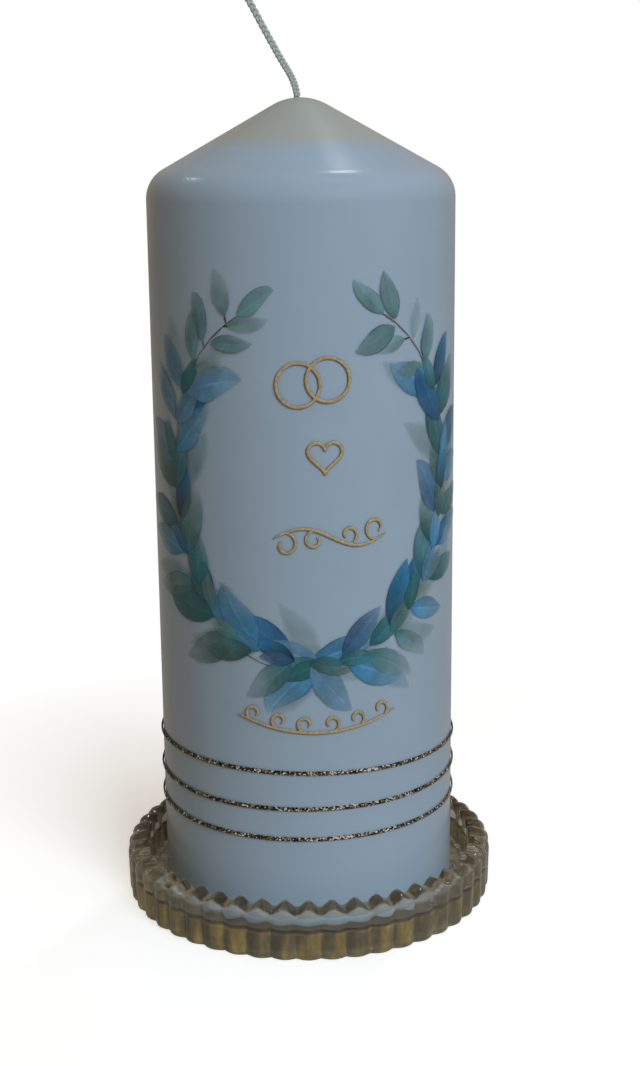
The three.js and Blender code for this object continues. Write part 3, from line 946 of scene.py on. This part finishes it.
def stem_strokes(side, shift, start, end, width):
    """Thin overlapping strokes along a branch, as (foot, angle, length, width, curl, wash)."""
    strokes = []
    count = round((end - start) * 22)
    for i in range(count):
        here, _ = branch_point(side, start + (end - start) * i / count, shift)
        there, _ = branch_point(side, start + (end - start) * (i + 1.35) / count, shift)
        across, up = there[0] - here[0], there[1] - here[1]
        strokes.append((here, math.atan2(up, across), math.hypot(across, up), width, 0, "stem"))
    return strokes


def node_leaves(side, node):
    """The leaves at one node, as (layer, foot, angle, length, width, wash); layer 0 lies lowest."""
    share = (node + 0.5) / BRANCH_NODES
    sprig = share > SPRIG_START
    leaves = []
    for hand in (-1, 1):
        outwards = hand == side
        point, way = branch_point(side, share + chance.uniform(-0.012, 0.012))
        if not sprig and chance.random() < 0.75:
            angle = way + hand * math.radians(chance.uniform(0, 65))
            length = chance.uniform(16, 22) * MM
            width = length * chance.uniform(0.4, 0.5)
            leaves.append((0, point, angle, length, width, chance.choice(("ghost", "haze"))))
        spread = chance.uniform(15, 45) if outwards and not sprig else chance.uniform(32, 72)
        angle = way + hand * math.radians(spread)
        wash = chance.choice(PALE_WASHES if sprig else DEEP_WASHES)
        length = (chance.uniform(10, 13) if sprig else chance.uniform(13, 19)) * MM
        width = length * chance.uniform(0.4, 0.52)
        stalk = chance.uniform(0.3, 2) * MM
        foot = (point[0] + stalk * math.cos(angle), point[1] + stalk * math.sin(angle))
        leaves.append((chance.choice((1, 2)), foot, angle, length, width, wash))
        if not sprig and chance.random() < 0.45:
            angle = way + hand * math.radians(chance.uniform(-15, 30))
            length = chance.uniform(9, 13) * MM
            width = length * chance.uniform(0.38, 0.5)
            leaves.append((2, point, angle, length, width, chance.choice(DEEP_WASHES)))
        if chance.random() < 0.5:
            leaves.append((0, point, angle, stalk + 1.2 * MM, STALK_WIDTH, "stalk"))
    return leaves


def make_wreath(material):
    master = master_leaf()
    strokes, leaves = [], []
    for side in (-1, 1):
        strokes += stem_strokes(side, 0, 0, 1, STEM_WIDTH)
        strokes += stem_strokes(side, TWIG_SHIFT, *TWIG_REACH, TWIG_WIDTH)
        for node in range(BRANCH_NODES):
            leaves += node_leaves(side, node)
        point, way = branch_point(side, 1)
        leaves.append((1, point, way - side * math.radians(12), *END_LEAF, "sprig"))
    strokes += [(*leaf[1:5], 0, "stalk") for leaf in leaves if leaf[-1] == "stalk"]
    leaves = sorted((leaf for leaf in leaves if leaf[-1] != "stalk"), key=lambda leaf: leaf[0])
    bent = [(*leaf[1:5], chance.uniform(-0.7, 0.7), leaf[5]) for leaf in leaves]
    painted = [place_leaf(master, place * STEM_LAYER, *stroke) for place, stroke in enumerate(strokes)]
    foot_of_leaves = len(strokes) * STEM_LAYER
    for place, leaf in enumerate(bent):
        painted.append(place_leaf(master, foot_of_leaves + place * LEAF_LAYER, *leaf))
    bpy.data.objects.remove(master)
    wreath = wrapped(joined("leaf_print", painted), RADIUS + PRINT_LIFT)
    return finish_piece(wreath, "candle", material, "leaf_film", slot="printed_film")


# Gold ornaments


def ring_points(across, height, radius, steps=40):
    turn = 2 * math.pi / steps
    angles = [i * turn for i in range(steps)]
    return [(across + radius * math.sin(angle), height + radius * math.cos(angle)) for angle in angles]


def curl_points(start, radius, hand, lift, steps=22):
    points = []
    for i in range(steps + 1):
        share = i / steps
        reach = radius * (1 - CURL_TIGHTENING * share)
        angle = share * CURL_TURN
        across = start[0] + hand * reach * math.sin(angle)
        points.append((across, start[1] + lift * (radius - reach * math.cos(angle))))
    return points


def ornament(motif, strokes, material):
    piece = wrapped(joined(f"gold_{motif}", strokes), RADIUS + ORNAMENT_LIFT)
    return finish_piece(piece, "candle", material, f"{motif}_ornament", slot="gold_wax")


def gold_line(points, closed=False):
    return line(points, STROKE, STROKE_DEPTH, closed=closed, taper=0 if closed else 0.55)


def make_rings(material):
    across, height = RINGS_PLACE
    strokes = []
    for side in (-1, 1):
        middle = (across + side * RING_SHIFT[0], height + side * RING_SHIFT[1])
        strokes.append(gold_line(ring_points(*middle, RING_RADIUS), closed=True))
    return ornament("rings", strokes, material)


def make_heart(material):
    across, height = HEART_PLACE
    unit = HEART_WIDTH / 32  # the usual heart curve is 32 units wide
    points = []
    for i in range(48):
        t = (i + 0.5) * 2 * math.pi / 48
        up = 13 * math.cos(t) - 5 * math.cos(2 * t) - 2 * math.cos(3 * t) - math.cos(4 * t)
        points.append((across + 16 * unit * math.sin(t) ** 3, height + unit * up))
    return ornament("heart", [gold_line(points, closed=True)], material)


def make_scroll(material):
    middle, height = SCROLL_PLACE
    half = SCROLL_LENGTH / 2

    def wave(spot):
        return (middle + spot, height - SCROLL_RISE * math.sin(math.pi * spot / half))

    strokes = [gold_line([wave(-half + 2 * half * i / 40) for i in range(41)])]
    for side in (-1, 1):
        for hand, (place, radius) in zip((-side, side), SCROLL_CURLS):
            strokes.append(gold_line(curl_points(wave(side * half * place), radius, hand, side)))
    return ornament("scroll", strokes, material)


def make_garland(material):
    middle, height = GARLAND_PLACE
    half = GARLAND_LENGTH / 2

    def sag(share):
        return (middle + share * half, height + GARLAND_SAG * (share**2 - 0.5))

    strokes = [gold_line([sag(-1 + i / 20) for i in range(41)])]
    for share in GARLAND_CURLS:
        curl = curl_points(sag(share), GARLAND_CURL_RADIUS, math.copysign(1, share), 1)
        strokes.append(gold_line(curl))
    return ornament("garland", strokes, material)


# Glitter cords


def make_glitter_cord(level, height, right, back, material):
    """A cord of three strands: a lobed section, repeated along a line, twisted and bent into a ring."""
    radius = RADIUS + GLITTER_LIFT + GLITTER_THICKNESS / 2
    length = 2 * math.pi * radius - GLITTER_END_GAP
    deselect()
    bpy.ops.mesh.primitive_cylinder_add(
        vertices=GLITTER_SIDES,
        radius=GLITTER_WIDTH / 2,
        depth=length / GLITTER_SECTIONS,
        end_fill_type="NOTHING",
        rotation=(0, math.pi / 2, 0),
    )
    bpy.ops.object.transform_apply(rotation=True)
    cord = bpy.context.object
    bpy.ops.object.mode_set(mode="EDIT")
    bpy.ops.mesh.select_all(action="DESELECT")
    bpy.ops.object.mode_set(mode="OBJECT")
    for vertex in cord.data.vertices:
        angle = math.atan2(vertex.co.z, vertex.co.y) % (2 * math.pi / 3)
        vertex.select = abs(angle - math.pi / 3) < math.radians(15)
    bpy.ops.object.mode_set(mode="EDIT")
    bpy.ops.transform.resize(value=(1, GLITTER_GROOVE, GLITTER_GROOVE), center_override=(0, 0, 0))
    bpy.ops.object.mode_set(mode="OBJECT")
    row = cord.modifiers.new("row", "ARRAY")
    row.count = GLITTER_SECTIONS
    row.use_merge_vertices = True
    row.merge_threshold = 0.01 * MM
    apply_modifiers(cord)
    cord.location.x = -length / 2 + length / GLITTER_SECTIONS / 2
    apply_place(cord)
    twist = cord.modifiers.new("twist", "SIMPLE_DEFORM")
    twist.deform_method = "TWIST"
    twist.deform_axis = "X"
    twist.angle = 2 * math.pi * GLITTER_TURNS
    apply_modifiers(cord)
    cord.scale.y = GLITTER_THICKNESS / GLITTER_WIDTH
    apply_place(cord)
    close_ends(cord)
    wrapped(cord, radius)
    cord.rotation_euler = (back, -right, 0)
    cord.location.z = SEAT + height
    apply_place(cord)
    cord.name = cord.data.name = f"{level}_thread"
    return finish_piece(cord, "candle", material, f"{level}_glitter_cord", slot="glitter_cord")


def close_ends(cord):
    """Fills the two open ends of a cord."""
    pick(cord)
    bpy.ops.object.mode_set(mode="EDIT")
    bpy.ops.mesh.select_all(action="DESELECT")
    bpy.ops.mesh.select_non_manifold()
    bpy.ops.mesh.fill()
    bpy.ops.mesh.select_all(action="SELECT")
    bpy.ops.mesh.normals_make_consistent(inside=False)
    bpy.ops.object.mode_set(mode="OBJECT")


# Floor, light and background


def add_light(name, place, aim, size, watts, colour, gloss):
    light = bpy.data.objects.new(name, bpy.data.lights.new(name, "AREA"))
    light.data.shape = "RECTANGLE"
    light.data.size, light.data.size_y = size
    light.data.energy = watts
    light.data.color = colour
    light.location = place
    light.rotation_euler = (Vector(place) - Vector(aim)).to_track_quat("Z", "Y").to_euler()
    light.visible_glossy = gloss
    bpy.context.collection.objects.link(light)


def part_seen(nodes, links, in_gloss, in_glass):
    """How much of a surface's looks a ray meets: all for the camera, a share in gloss and through glass."""
    light_path = nodes.new("ShaderNodeLightPath")
    seen = light_path.outputs["Is Camera Ray"]
    for kind, share in (("Is Glossy Ray", in_gloss), ("Is Transmission Ray", in_glass)):
        dimmed = nodes.new("ShaderNodeMath")
        dimmed.operation = "MULTIPLY_ADD"
        dimmed.use_clamp = True
        links.new(light_path.outputs[kind], dimmed.inputs[0])
        dimmed.inputs[1].default_value = share
        links.new(seen, dimmed.inputs[2])
        seen = dimmed.outputs["Value"]
    return seen


def white_paper():
    """Pale paper: it looks white, keeps the shadow near the candle, and throws little light back on it."""
    paper = Finish("white_paper", (0.4, 0.37, 0.32), 0.9)
    links = paper.material.node_tree.links
    sheet = paper.nodes.new("ShaderNodeBsdfDiffuse")
    sheet.inputs["Color"].default_value = (0.95, 0.95, 0.95, 1)
    glow = paper.nodes.new("ShaderNodeEmission")
    glow.inputs["Strength"].default_value = 0.34
    bright = paper.nodes.new("ShaderNodeAddShader")
    links.new(sheet.outputs["BSDF"], bright.inputs[0])
    links.new(glow.outputs["Emission"], bright.inputs[1])
    white = paper.nodes.new("ShaderNodeEmission")
    fade = paper.nodes.new("ShaderNodeMixShader")
    links.new(paper.spread(paper.radius(), *SHADOW_EDGE, 0, 1), fade.inputs["Fac"])
    links.new(bright.outputs["Shader"], fade.inputs[1])
    links.new(white.outputs["Emission"], fade.inputs[2])
    blend = paper.nodes.new("ShaderNodeMixShader")
    links.new(part_seen(paper.nodes, links, SEEN_IN_GLOSS, SEEN_IN_GLASS), blend.inputs["Fac"])
    links.new(paper.shader.outputs["BSDF"], blend.inputs[1])
    links.new(fade.outputs["Shader"], blend.inputs[2])
    links.new(blend.outputs["Shader"], paper.nodes["Material Output"].inputs["Surface"])
    return paper.material


def add_world():
    world = bpy.data.worlds.new("studio")
    bpy.context.scene.world = world
    world.use_nodes = True
    nodes, links = world.node_tree.nodes, world.node_tree.links
    room = nodes["Background"]
    room.inputs["Color"].default_value = (1, 0.74, 0.46, 1)
    room.inputs["Strength"].default_value = 0.28
    white = nodes.new("ShaderNodeBackground")
    white.inputs["Color"].default_value = (1, 1, 1, 1)
    blend = nodes.new("ShaderNodeMixShader")
    links.new(part_seen(nodes, links, SEEN_IN_GLOSS, SEEN_IN_GLASS), blend.inputs["Fac"])
    links.new(room.outputs["Background"], blend.inputs[1])
    links.new(white.outputs["Background"], blend.inputs[2])
    links.new(blend.outputs["Shader"], nodes["World Output"].inputs["Surface"])


def add_stage():
    deselect()
    bpy.ops.mesh.primitive_plane_add(size=6)
    floor = bpy.context.object
    floor.name = "floor"
    floor.data.materials.append(white_paper())
    add_world()
    for name, lamp in LAMPS.items():
        add_light(name, *lamp)


def dress_hidden_nodes(core, cotton):
    """The pieces inside the wax keep their own shape and get the finish of what they are."""
    for node, material in (("wax_core", core), ("wick_core", cotton)):
        piece = bpy.data.objects[node]
        piece.data.materials.clear()
        piece.data.materials.append(material)


def make_candle():
    cotton = braided_cotton()
    gold = gold_wax()
    glitter = glitter_thread()
    make_wick(cotton)
    make_coat(dipped_wax())
    make_plate(pressed_glass())
    make_wreath(watercolour())
    make_rings(gold)
    make_heart(gold)
    make_scroll(gold)
    make_garland(gold)
    for level, (height, right, back) in GLITTER_CORDS.items():
        make_glitter_cord(level, height, right, back, glitter)
    dress_hidden_nodes(core_wax(), cotton)


bpy.context.scene.view_settings.view_transform = "Standard"
add_camera()
make_candle()
add_stage()
deselect()
